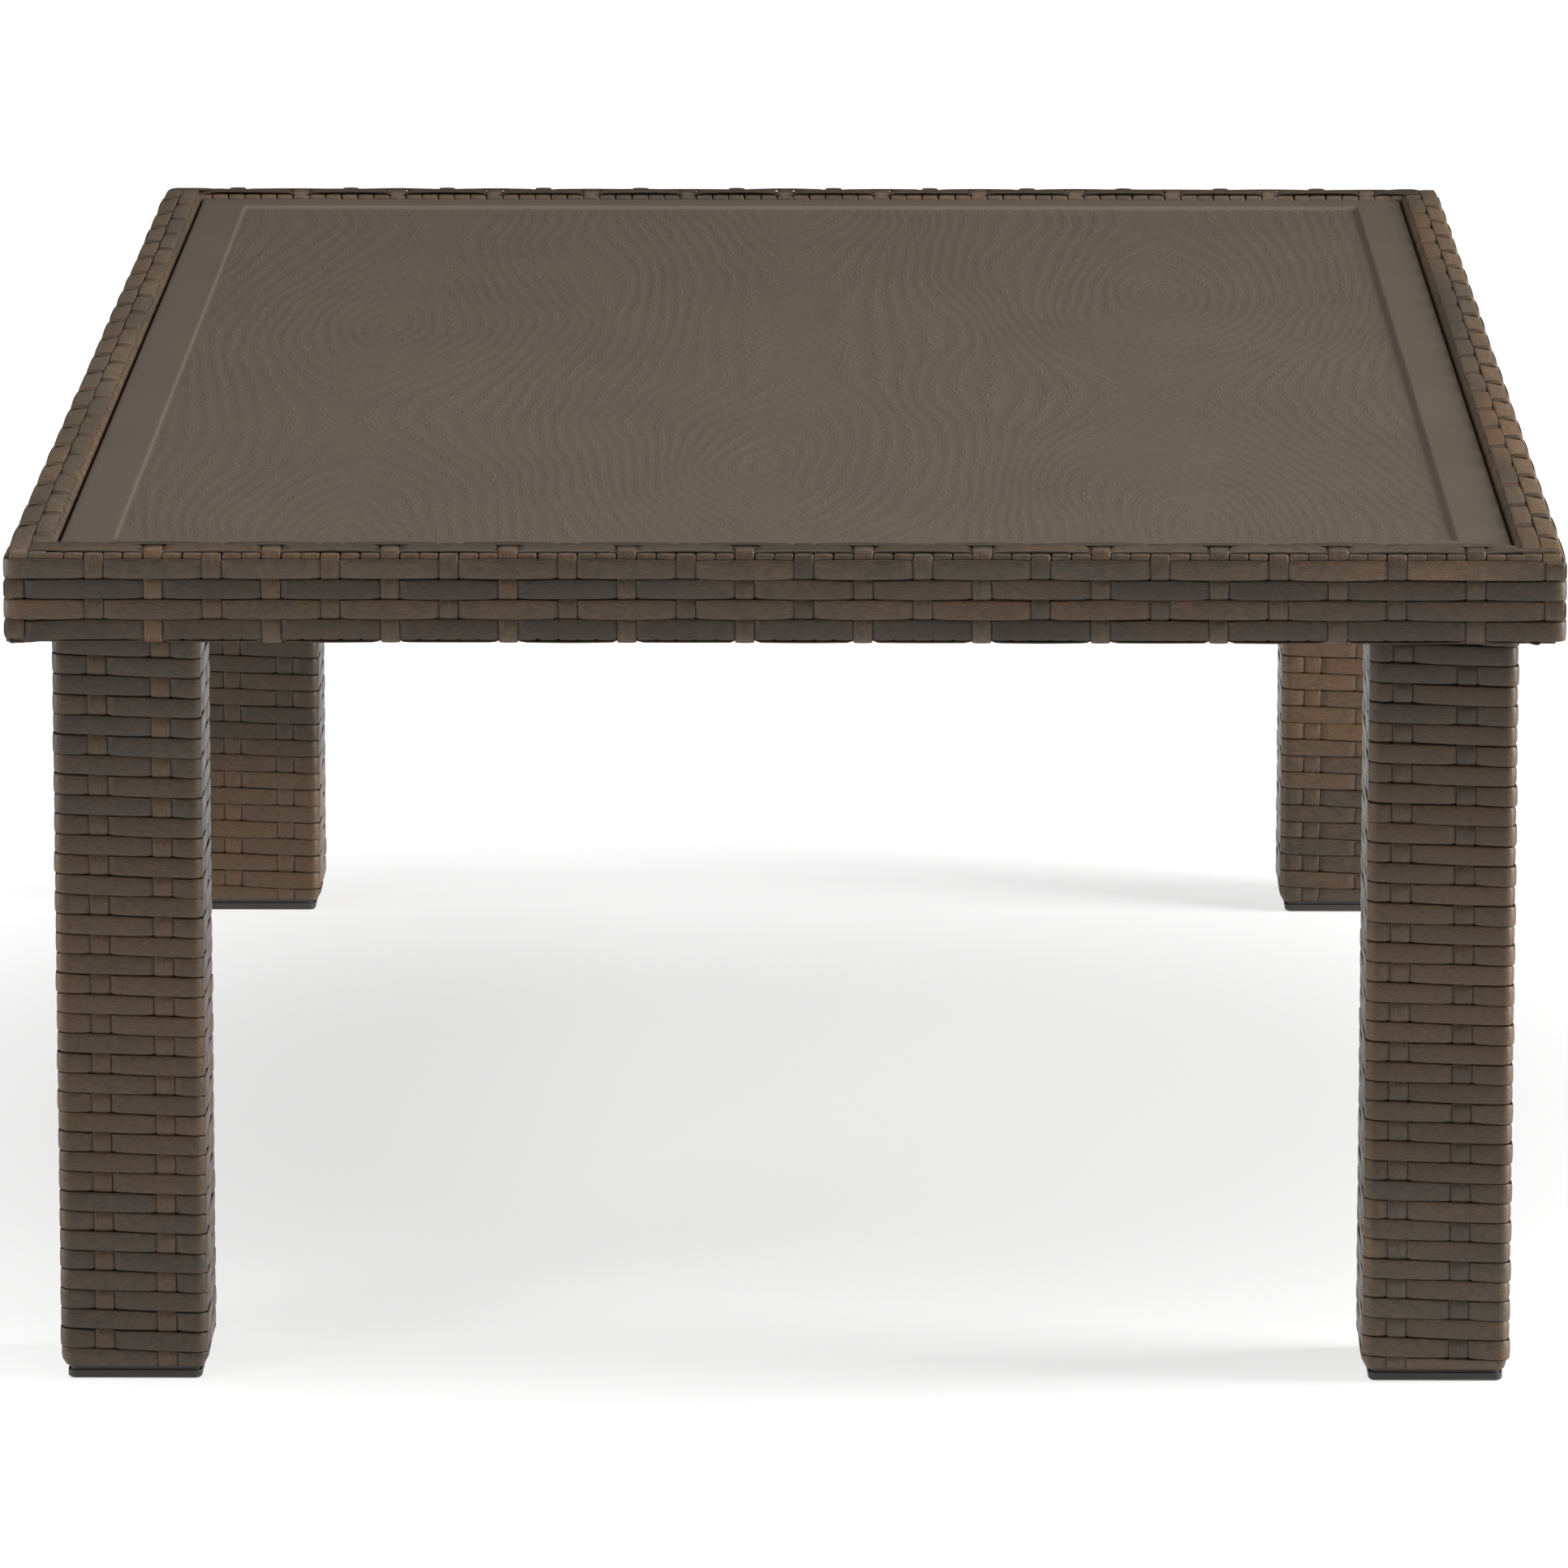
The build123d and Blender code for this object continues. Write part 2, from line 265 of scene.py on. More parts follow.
def mesh_from(name, points, quads):
    """A mesh of quads in metres, from points in millimetres."""
    mesh = bpy.data.meshes.new(name)
    mesh.vertices.add(len(points))
    mesh.vertices.foreach_set("co", (np.asarray(points) * MM).astype(np.float32).ravel())
    mesh.loops.add(quads.size)
    mesh.loops.foreach_set("vertex_index", quads.astype(np.int32).ravel())
    mesh.polygons.add(len(quads))
    mesh.polygons.foreach_set("loop_start", np.arange(0, quads.size, 4, dtype=np.int32))
    mesh.polygons.foreach_set("use_smooth", np.ones(len(quads), bool))
    mesh.update(calc_edges=True)
    mesh.validate()
    return mesh


def piece_from(name, mesh, material):
    piece = bpy.data.objects.new(name, mesh)
    bpy.context.scene.collection.objects.link(piece)
    mesh.materials.append(material)
    return piece


# ---------------------------------------------------------------- materials
class Nodes:
    """Short calls for making a material's nodes."""

    def __init__(self, name):
        self.material = bpy.data.materials.new(name)
        self.material.use_nodes = True
        self.tree = self.material.node_tree
        self.tree.nodes.clear()
        self.shader = self.tree.nodes.new("ShaderNodeBsdfPrincipled")
        out = self.tree.nodes.new("ShaderNodeOutputMaterial")
        self.tree.links.new(self.shader.outputs["BSDF"], out.inputs["Surface"])

    def new(self, kind, **inputs):
        node = self.tree.nodes.new(kind)
        for key, value in inputs.items():
            self.feed(node.inputs[key.replace("_", " ")], value)
        return node

    def feed(self, socket, value):
        if isinstance(value, bpy.types.NodeSocket):
            self.tree.links.new(value, socket)
        else:
            socket.default_value = value

    def math(self, operation, a, b=0.0, clamp=False):
        node = self.tree.nodes.new("ShaderNodeMath")
        node.operation = operation
        node.use_clamp = clamp
        self.feed(node.inputs[0], a)
        self.feed(node.inputs[1], b)
        return node.outputs[0]

    def mix(self, factor, a, b):
        node = self.tree.nodes.new("ShaderNodeMix")
        node.data_type = "RGBA"
        self.feed(node.inputs[0], factor)
        self.feed(node.inputs[6], a)
        self.feed(node.inputs[7], b)
        return node.outputs[2]

    def attribute(self, name):
        node = self.tree.nodes.new("ShaderNodeAttribute")
        node.attribute_name = name
        return node.outputs["Fac"]

    def place(self):
        """The object's own coordinates, in metres."""
        return self.tree.nodes.new("ShaderNodeTexCoord").outputs["Object"]

    def scaled(self, vector, x, y, z):
        node = self.new("ShaderNodeVectorMath", Vector=vector)
        node.operation = "MULTIPLY"
        node.inputs[1].default_value = (x, y, z)
        return node.outputs[0]

    def xyz(self, x, y, z):
        return self.new("ShaderNodeCombineXYZ", X=x, Y=y, Z=z).outputs[0]

    def noise(self, vector, scale, detail=3.0, roughness=0.55):
        node = self.new("ShaderNodeTexNoise", Vector=vector, Scale=scale, Detail=detail, Roughness=roughness)
        return node.outputs[0]

    def ramp(self, factor, low, high, out_low=0.0, out_high=1.0):
        node = self.new("ShaderNodeMapRange", Value=factor)
        node.interpolation_type = "SMOOTHSTEP"
        for socket, value in zip(range(1, 5), (low, high, out_low, out_high)):
            node.inputs[socket].default_value = value
        return node.outputs[0]

    def bump(self, height, distance, strength=1.0, normal=None):
        node = self.new("ShaderNodeBump", Height=height, Distance=distance, Strength=strength)
        if normal is not None:
            self.feed(node.inputs["Normal"], normal)
        return node.outputs[0]

    def finish(self, **inputs):
        for key, value in inputs.items():
            self.feed(self.shader.inputs[key.replace("_", " ")], value)
        return self.material


def scale_colour(n, colour, factor):
    """Colour times a number that changes over the surface."""
    node = n.tree.nodes.new("ShaderNodeVectorMath")
    node.operation = "SCALE"
    n.feed(node.inputs[0], colour)
    n.feed(node.inputs[3], factor)
    return node.outputs[0]


def strand_material():
    """Flat resin strand: grey to brown along its length, with fine lengthwise streaks and specks, and
    painted shade along its edges.
    """
    n = Nodes("woven_strand")
    along, across = n.attribute("strand_along"), n.attribute("strand_across")
    seed = n.math("MULTIPLY", n.attribute("strand_seed"), 37.0)
    warm, light = n.attribute("strand_warm"), n.attribute("strand_light")
    streak_place = n.xyz(n.math("MULTIPLY", along, 0.25), n.math("MULTIPLY", across, 6.0), seed)
    streaks = n.noise(streak_place, 1.0, 5.0, 0.65)
    patch_place = n.xyz(n.math("MULTIPLY", along, 0.20), n.math("MULTIPLY", across, 1.1), seed)
    patches = n.noise(patch_place, 1.0, 3.0, 0.55)
    speck_place = n.xyz(n.math("MULTIPLY", along, 1.3), n.math("MULTIPLY", across, 9.0), seed)
    specks = n.noise(speck_place, 1.0, 2.0, 0.7)
    blotch = n.noise(n.place(), 260.0, 3.0, 0.6)
    tone = n.math("ADD", warm, n.ramp(patches, 0.3, 0.7, -0.26, 0.26))
    tone = n.math("ADD", tone, n.ramp(blotch, 0.3, 0.7, -0.14, 0.14), clamp=True)
    colour = n.mix(tone, (0.0455, 0.0348, 0.0240, 1.0), (0.0840, 0.0490, 0.0250, 1.0))
    shade = n.math("MULTIPLY", light, n.ramp(streaks, 0.25, 0.75, 0.76, 1.28))
    shade = n.math("MULTIPLY", shade, n.ramp(specks, 0.35, 0.75, 0.88, 1.32))
    colour = scale_colour(n, colour, shade)
    # painted shade: each strand darker along both of its edges
    edge = n.ramp(n.math("ABSOLUTE", across), 0.80, 1.0, 1.0, 0.72)
    colour = scale_colour(n, colour, edge)
    rough = n.ramp(streaks, 0.2, 0.8, 0.36, 0.50)
    grain = n.bump(streaks, 0.00016, 0.8)
    grain = n.bump(specks, 0.00007, 0.6, grain)
    return n.finish(Base_Color=colour, Roughness=rough, Normal=grain, Specular_IOR_Level=0.36)


def top_material():
    """Grey-brown powder coat: orange-peel, and broken pores along the embossed grain, with painted light on
    the grain's raised dashes and painted shade between them.
    """
    n = Nodes("top_paint")
    place = n.place()
    grain = n.attribute("grain")
    field = n.attribute("field")
    split = n.new("ShaderNodeSeparateXYZ", Vector=place)
    x, y = split.outputs[0], split.outputs[1]
    dash_x, dash_y = n.math("MULTIPLY", x, 190.0), n.math("MULTIPLY", y, 190.0)
    dash_place = n.xyz(n.math("MULTIPLY", grain, 9.0), dash_x, dash_y)
    dashes = n.ramp(n.noise(dash_place, 1.0, 2.0, 0.55), 0.36, 0.64)
    wave = n.math("SINE", n.math("MULTIPLY", grain, 2.0 * math.pi))
    band = n.ramp(wave, -0.6, 0.9, 0.35, 1.0)
    patch = n.ramp(n.noise(n.scaled(place, 1.0, 0.35, 1.0), 26.0, 2.0, 0.5), 0.35, 0.65, 0.55, 1.0)
    relief = n.math("MULTIPLY", n.math("MULTIPLY", dashes, band), n.math("MULTIPLY", patch, field))
    peel = n.noise(place, 1400.0, 2.0, 0.5)
    cloud = n.noise(place, 9.0, 2.0, 0.5)
    shade = n.math("MULTIPLY", n.ramp(cloud, 0.3, 0.7, 0.97, 1.03), n.ramp(peel, 0.3, 0.7, 0.97, 1.03))
    # painted light and shade: lighter on the grain's raised dashes, darker between them
    shade = n.math("MULTIPLY", shade, n.ramp(relief, 0.0, 1.0, 0.94, 1.05))
    colour = scale_colour(n, (0.131, 0.100, 0.0735), shade)
    normal = n.bump(relief, 0.00040, 1.0)
    normal = n.bump(peel, 0.00003, 0.5, normal)
    rough = n.ramp(relief, 0.0, 1.0, 0.50, 0.44)
    return n.finish(Base_Color=colour, Roughness=rough, Normal=normal, Specular_IOR_Level=0.40)


def paint_material(name, colour, roughness):
    """Powder coat: orange-peel bump, faint clouding, and dust that settles in patches."""
    n = Nodes(name)
    place = n.place()
    peel = n.noise(place, 900.0, 2.0, 0.5)
    cloud = n.noise(place, 18.0, 3.0, 0.6)
    shade = n.math("MULTIPLY", n.ramp(cloud, 0.3, 0.7, 0.90, 1.10), n.ramp(peel, 0.3, 0.7, 0.94, 1.06))
    rough = n.ramp(cloud, 0.3, 0.7, roughness - 0.05, roughness + 0.07)
    normal = n.bump(peel, 0.00005, 0.7)
    return n.finish(Base_Color=scale_colour(n, colour, shade), Roughness=rough, Normal=normal)


def plastic_material():
    """Moulded foot plastic with a fine spark-eroded texture and scuffs near the floor."""
    n = Nodes("foot_plastic")
    place = n.place()
    texture = n.noise(place, 2600.0, 2.0, 0.6)
    scuff = n.noise(n.scaled(place, 1.0, 1.0, 6.0), 60.0, 4.0, 0.65)
    shade = n.math("MULTIPLY", n.ramp(texture, 0.3, 0.7, 0.85, 1.15), n.ramp(scuff, 0.55, 0.75, 1.0, 1.5))
    normal = n.bump(texture, 0.00006, 0.8)
    colour = scale_colour(n, (0.032, 0.030, 0.028), shade)
    return n.finish(Base_Color=colour, Roughness=n.ramp(scuff, 0.4, 0.7, 0.52, 0.68), Normal=normal)


def zinc_material():
    """Zinc plate: bright grey metal with faint crystal mottling."""
    n = Nodes("zinc_steel")
    place = n.place()
    mottle = n.noise(place, 700.0, 3.0, 0.6)
    stain = n.noise(place, 90.0, 3.0, 0.6)
    colour = n.mix(n.ramp(stain, 0.3, 0.7), (0.50, 0.51, 0.52, 1.0), (0.62, 0.60, 0.55, 1.0))
    normal = n.bump(mottle, 0.00003, 0.5)
    rough = n.ramp(mottle, 0.3, 0.7, 0.28, 0.42)
    return n.finish(Base_Color=colour, Roughness=rough, Metallic=1.0, Normal=normal)


def rubber_material():
    """Soft black rubber with a matt, dusty surface."""
    n = Nodes("pad_rubber")
    place = n.place()
    dust = n.noise(place, 300.0, 4.0, 0.65)
    grain = n.noise(place, 2000.0, 2.0, 0.6)
    shade = n.ramp(dust, 0.4, 0.75, 0.8, 1.9)
    colour = scale_colour(n, (0.022, 0.021, 0.020), shade)
    normal = n.bump(grain, 0.00008, 0.7)
    rough = n.ramp(dust, 0.3, 0.7, 0.75, 0.92)
    return n.finish(Base_Color=colour, Roughness=rough, Normal=normal)


def floor_material():
    """Pale seamless floor that glows by itself: the glow is weaker near the table, which paints part of the
    pale shadow under it, and keeps the floor white away from the table.
    """
    n = Nodes("studio_floor")
    place = n.place()
    mottle = n.noise(place, 3.0, 2.0, 0.5)
    colour = scale_colour(n, (0.36, 0.36, 0.36), n.ramp(mottle, 0.3, 0.7, 0.995, 1.005))
    away = n.new("ShaderNodeVectorMath", Vector=place)
    away.operation = "LENGTH"
    # painted shadow: the glow rises from 0.545 near the table's middle to 0.97 about a metre out
    glow = n.ramp(away.outputs["Value"], 0.25, 1.05, 0.545, 0.97)
    return n.finish(Base_Color=colour, Roughness=0.9, Specular_IOR_Level=0.1,
                    Emission_Color=(1.0, 1.0, 1.0, 1.0), Emission_Strength=glow)


strand_look = strand_material()
top_look = top_material()
frame_look = paint_material("frame_paint", (0.055, 0.046, 0.040), 0.46)
underside_look = paint_material("top_underside_paint", (0.100, 0.085, 0.070), 0.55)
foot_look = plastic_material()
zinc_look = zinc_material()
rubber_look = rubber_material()
CAD_LOOKS = {
    ("rail_", "ledge_front", "ledge_rear", "ledge_left", "ledge_right"): frame_look,
    ("cross_bar_front", "cross_bar_middle", "cross_bar_rear"): frame_look,
    ("gusset_", "leg_tube_", "leg_plate_"): frame_look,
    ("stiffener_",): underside_look,
    ("foot_cap_",): foot_look,
    ("leg_bolts", "leg_washers"): zinc_look,
    ("ledge_pads", "cross_bar_pads"): rubber_look,
}
for name, node in nodes.items():
    for prefixes, look in CAD_LOOKS.items():
        if name.startswith(prefixes):
            node.data.materials.clear()
            node.data.materials.append(look)


# ---------------------------------------------------------------- woven rim
rim_low, rim_high = cad_low / MM, cad_high / MM
RIM_HALF = (rim_high[0], rim_high[1])
rail_low, rail_high = box_mm("rail_front")
RAIL_TOP, RAIL_BOTTOM = rail_high[2], rail_low[2]
RAIL_OUT = rail_low[1] - rim_low[1]  # rail's outer face, in from the rim's
RAIL_IN = rail_high[1] - rim_low[1]
RAIL_RADIUS = 2.0
FIRST_STAKE = 6.3  # from the corner's outer face
T1_CENTRE, T2_CENTRE = 8.1, 17.45  # outer and inner weaver of the top face, and of the underside
CORNER = 24.0  # the corner square, where top strands of two sides cross
CROSS_OVER, CROSS_UNDER = 2.45, 0.85  # heights of strands that cross there
CROSS_END = 33.0
# A weaver under the rim: where it stops, in from the corner, and its height in the corner square.
BOTTOM_LONG, BOTTOM_SHORT = (12.6, 0.85), (3.4, 2.4)
SHORT = {"length": 2 * RIM_HALF[0], "stakes": 79, "first": "A"}
LONG = {"length": 2 * RIM_HALF[1], "stakes": 126, "first": "B"}
SIDES = (
    {"name": "front", "start": (-1, -1), "run": (1, 0), "inward": (0, 1), **SHORT},
    {"name": "right", "start": (1, -1), "run": (0, 1), "inward": (-1, 0), **LONG},
    {"name": "rear", "start": (1, 1), "run": (-1, 0), "inward": (0, -1), **SHORT},
    {"name": "left", "start": (-1, 1), "run": (0, -1), "inward": (1, 0), **LONG},
)
ROW_CENTRES = [RAIL_TOP - 1.6 - ROW_PITCH * (i + 0.5) for i in range(4)]
ROW_SETS = ("B", "A", "B", "A")
TOP_SETS = {"T1": "A", "T2": "B"}
# Tone of each outer row: share of brown, brightness.
ROW_TONES = ((0.18, 1.17), (0.20, 0.76), (0.62, 0.90), (0.32, 0.67))
ROW_SAG = (0.0, 0.0, -0.2, -0.5)  # near the corners
ROW_DROOP = (0.0, 0.0, 0.0, 1.6)  # at the front left corner
# Share of brown and brightness of each side's top weavers; the left and right sides' brightness, about twice
# the others', is partly painted light.
TOP_TONES_AND_PAINTED_LIGHT = {"front": (0.22, 1.25), "rear": (0.3, 1.2), "left": (0.20, 2.45), "right": (0.35, 2.10)}


def stake_sets(side):
    """Which stakes of a side show over each kind of weaver: one in six, up to eight apart by the ends."""
    last = side["stakes"] - 1
    first = {0, last - 4, *range(7, last - 8, 6)}
    second = {last, *range(4, last - 5, 6)}
    return {side["first"]: first, "A" if side["first"] == "B" else "B": second}


def stake_pitch(side):
    return (side["length"] - 2 * FIRST_STAKE) / (side["stakes"] - 1)


def side_place(side):
    """Maps distance along a side, distance in from its outer face, and height to x, y, z."""
    start = np.array(side["start"]) * np.array(RIM_HALF)
    run, inward = np.array(side["run"]), np.array(side["inward"])

    def place(s, u, z):
        xy = start + s[..., None] * run + u[..., None] * inward
        return np.concatenate([xy, z[..., None]], -1)

    return place


def rail_outline():
    """Section of the rail's surface, from its inner face over the top and down the outside."""
    r = RAIL_RADIUS
    top, bottom, outer, inner = RAIL_TOP, RAIL_BOTTOM, RAIL_OUT, RAIL_IN
    line, arc = Outline.line, Outline.arc
    return Outline(
        [
            line(inner, top - 10.5, inner, top - r, 1, 0),
            arc(inner - r, top - r, r, 0, 90),
            line(inner - r, top, outer + r, top, 0, 1),
            arc(outer + r, top - r, r, 90, 180),
            line(outer, top - r, outer, bottom + r, -1, 0),
            arc(outer + r, bottom + r, r, 180, 270),
            line(outer + r, bottom, inner - r, bottom, 0, -1),
            arc(inner - r, bottom + r, r, 270, 360),
            line(inner, bottom + r, inner, bottom + r + 1.5, 1, 0),
        ]
    )


RAIL_SECTION = rail_outline()


def along_top(u):
    """Distance along the rail's section of the top point u in from the outer face."""
    return RAIL_SECTION.starts[2] + (RAIL_IN - RAIL_RADIUS) - u


def down_face(z):
    return RAIL_SECTION.starts[4] + (RAIL_TOP - RAIL_RADIUS) - z


def along_bottom(u):
    return RAIL_SECTION.starts[6] + u - (RAIL_OUT + RAIL_RADIUS)


def stake_keys(levels, corner, over_first_row, inner_edge):
    """Height keys of a stake along the rail's section; levels gives its height at each weaver."""
    s = RAIL_SECTION.starts
    keys = []
    if not corner:
        keys += [(s[0], 3.3), (s[1], 3.35), (s[1] + 1.6, inner_edge)]
        keys += [(along_top(T2_CENTRE + u), levels["T2"]) for u in (1.0, -BUMP_FLAT)]
        keys += [(along_top(T1_CENTRE + u), levels["T1"]) for u in (BUMP_FLAT, -BUMP_FLAT)]
        keys += [(s[3] + 0.5 * (s[4] - s[3]), EDGE)]
    else:
        keys += [(s[4], 1.5 if over_first_row else LOW)]
    for i, z in enumerate(ROW_CENTRES):
        keys += [(down_face(z + BUMP_FLAT), levels[i]), (down_face(z - BUMP_FLAT), levels[i])]
    keys += [(s[5] + 0.5 * (s[6] - s[5]), LOWER_EDGE)]
    for centre, level in ((T1_CENTRE, levels["T1"]), (T2_CENTRE, levels["T2"])):
        keys += [(along_bottom(centre - BUMP_FLAT), level), (along_bottom(centre + BUMP_FLAT), level)]
    keys += [(s[7] + 0.5 * (s[8] - s[7]), EDGE), (s[9], 1.6)]
    return keys


def make_rim_stakes(side, rng):
    """The strands round the rail's section, one after another along a side."""
    weave = Weave()
    place = side_place(side)
    sets = stake_sets(side)
    count, length = side["stakes"], side["length"]
    outer_bend = 0.5 * (RAIL_SECTION.starts[3] + RAIL_SECTION.starts[4])
    inner_bend = 0.5 * (RAIL_SECTION.starts[1] + RAIL_SECTION.starts[2])
    pitch = stake_pitch(side)
    tone_places = np.arange(count) * pitch
    warm = 0.62 + drift(rng, tone_places, 110.0, 0.22)
    light = 1.08 + drift(rng, tone_places, 90.0, 0.08)
    if side["name"] in ("front", "rear"):
        middle = np.exp(-(((tone_places - length / 2) / 190.0) ** 2))
        warm -= 0.25 * middle
        light -= 0.10 * middle
    else:
        warm -= 0.22
        light += 0.14
    for i in range(count):
        s0 = FIRST_STAKE + i * pitch
        corner = s0 < CORNER or s0 > length - CORNER
        levels = {"T1": LOW, "T2": LOW}
        for row, kind in enumerate(ROW_SETS):
            levels[row] = BUMP if i in sets[kind] else LOW
        for which, kind in TOP_SETS.items():
            if i in sets[kind]:
                levels[which] = TOP_BUMP[which]
        keys = stake_keys(levels, corner, levels[0] > LOW, INNER_EDGE[side["name"]])
        low = RAIL_SECTION.starts[0]
        if corner:
            low = RAIL_SECTION.starts[4] if levels[0] > LOW else down_face(ROW_CENTRES[0] + 1.0)
        p = RAIL_SECTION.samples(low, RAIL_SECTION.starts[-1], 2.1, 0.55)
        height = through_keys(p, keys)
        lean = rng.normal(0.0, 0.12)
        across = s0 + lean + rng.normal(0.0, 0.12) * np.sin(p / 21.0 + rng.uniform(0, 6))

        def wrap(a, b, h):
            uz = RAIL_SECTION.offset(a, h)
            return place(b, uz[..., 0], uz[..., 1])

        own = rng.normal(0.0, 0.10)
        # painted highlights where each stake bends over the rail's outer and inner top edges
        painted_bend_highlights = painted_bend_highlight(p - outer_bend, 0.55) * painted_bend_highlight(p - inner_bend, 0.30)
        weave.strand(wrap, p, across, height, STAKE_WIDTH + rng.normal(0, 0.12), rng.uniform(0, 100),
                     warm[i] + own + drift(rng, p, 30.0, 0.07), light[i] * (1 + rng.normal(0, 0.07)) * painted_bend_highlights)
    return weave.piece("rim_stakes_" + side["name"], strand_look)


def float_heights(places, lows, rng, level, low, bow, corner_pairs=()):
    """Height along a weaver: low under each stake, level between, and a small bow in each float."""
    height = np.full(len(places), level)
    lows = np.sort(np.asarray(lows))
    bounds = np.concatenate([[places[0] - 1.0], lows, [places[-1] + 1.0]])
    for a, b in zip(bounds[:-1], bounds[1:]):
        mask = (places >= a) & (places <= b)
        t = (places[mask] - a) / max(b - a, 1e-6)
        height[mask] += rng.uniform(0.15, 1.0) * bow * np.sin(math.pi * t) ** 2 * min(1.0, (b - a) / 50.0)
    nearest = np.min(np.abs(places[:, None] - lows[None, :]), axis=1)
    share = smooth((nearest - DIP_FLAT) / (DIP_END - DIP_FLAT))
    height = low + (height - low) * share
    for a, b in corner_pairs:
        mask = (places > a) & (places < b)
        height[mask] = np.minimum(height[mask], low + 0.5)
    return height, nearest


def rim_loop_outline():
    """Plan of the rails' outer face, walked anticlockwise from the front left corner."""
    hx, hy, r = RIM_HALF[0] - RAIL_OUT, RIM_HALF[1] - RAIL_OUT, RAIL_RADIUS
    line, arc = Outline.line, Outline.arc
    return Outline(
        [
            line(-hx + r, -hy, hx - r, -hy, 0, -1),
            arc(hx - r, -hy + r, r, -90, 0),
            line(hx, -hy + r, hx, hy - r, 1, 0),
            arc(hx - r, hy - r, r, 0, 90),
            line(hx - r, hy, -hx + r, hy, 0, 1),
            arc(-hx + r, hy - r, r, 90, 180),
            line(-hx, hy - r, -hx, -hy + r, -1, 0),
            arc(-hx + r, -hy + r, r, 180, 270),
        ]
    )


RIM_LOOP = rim_loop_outline()


def make_rim_rows(rng):
    """The four weavers that go right round the rim's outer face."""
    weave = Weave()
    total = RIM_LOOP.starts[-1]
    p = RIM_LOOP.samples(0.0, total, RUN_STEP, ARC_STEP)[:-1]
    corner_places = [0.5 * (RIM_LOOP.starts[i] + RIM_LOOP.starts[i + 1]) for i in (1, 3, 5, 7)]
    corner_gap = np.min([np.minimum(np.abs(p - c), total - np.abs(p - c)) for c in corner_places], axis=0)
    for row, kind in enumerate(ROW_SETS):
        lows, pairs = [], []
        for i, side in enumerate(SIDES):
            pitch = stake_pitch(side)
            start = RIM_LOOP.starts[2 * i] - (RAIL_OUT + RAIL_RADIUS)
            found = sorted(stake_sets(side)[kind])
            lows += [start + FIRST_STAKE + k * pitch for k in found]
        lows = sorted(lows)
        for c in corner_places:
            near = [x for x in lows + [lows[0] + total] if abs(x - c) < 9.0]
            if len(near) == 2:
                pairs.append((min(near), max(near)))
        wrapped = [x - total for x in lows[-1:]] + lows + [x + total for x in lows[:1]]
        height, nearest = float_heights(p, wrapped, rng, FLOAT, LOW, BOW, pairs)
        shift = drift(rng, p, 70.0, 0.14)
        sag = ROW_SAG[row] * np.exp(-((corner_gap / 60.0) ** 2))
        front_left = np.minimum(np.abs(p - corner_places[3]), total - np.abs(p - corner_places[3]))
        droop = ROW_DROOP[row] * np.exp(-((front_left / 15.0) ** 2))
        width = ROW_WIDTH + 0.22 - 0.65 * (1 - smooth((nearest - 2.0) / 14.0)) + drift(rng, p, 90.0, 0.10)
        roll = drift(rng, p, 60.0, 0.025)
        warm, light = ROW_TONES[row]

        def wrap(a, b, h):
            xy = RIM_LOOP.offset(a, h)
            return np.concatenate([xy, b[..., None]], -1)

        middle = ROW_CENTRES[row] + shift + sag - droop
        # the brightness holds a painted highlight on each row near the rim's corners
        weave.strand(wrap, p, middle, height, width + droop, rng.uniform(0, 100),
                     warm + drift(rng, p, 95.0, 0.26),
                     light * (1.0 + drift(rng, p, 70.0, 0.07)) * painted_bend_highlight(corner_gap, 0.40),
                     roll=roll, closed=True)
    return weave.piece("rim_rows", strand_look)


def top_strand_outline(length):
    """Path over the rail's top along a side, with both ends turned down the outer faces."""
    r, outer = RAIL_RADIUS, RAIL_OUT
    line, arc = Outline.line, Outline.arc
    return Outline(
        [
            line(outer, RAIL_TOP - 7.5, outer, RAIL_TOP - r, -1, 0),
            arc(outer + r, RAIL_TOP - r, r, 180, 90),
            line(outer + r, RAIL_TOP, length - outer - r, RAIL_TOP, 0, 1),
            arc(length - outer - r, RAIL_TOP - r, r, 90, 0),
            line(length - outer, RAIL_TOP - r, length - outer, RAIL_TOP - 7.5, 1, 0),
        ]
    )


